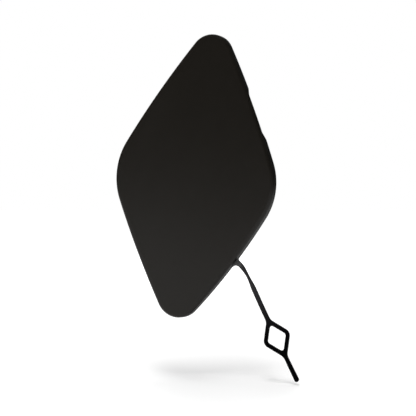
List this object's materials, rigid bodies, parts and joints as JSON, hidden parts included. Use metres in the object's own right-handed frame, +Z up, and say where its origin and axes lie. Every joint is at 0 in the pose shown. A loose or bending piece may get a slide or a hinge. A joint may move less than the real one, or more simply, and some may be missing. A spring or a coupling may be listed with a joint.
{
  "type": "bumper tow hook cover",
  "caption": "Kite-shaped bumper tow hook cover with a crowned front, a clip skirt behind it and a moulded strap with an eye.",
  "frame": {"origin": "middle of the plate's outline, in the plane of the rear land that meets the bumper", "axes": "+Y into the bumper, out of the back of the land; +Z up; +X to the right as seen from in front"},
  "size_m": [0.0698, 0.0164, 0.1267],
  "materials": {
    "black_plastic": "satin"
  },
  "bodies": {
    "root": {"tow_hook_cover": "black_plastic"}
  },
  "joints": []
}
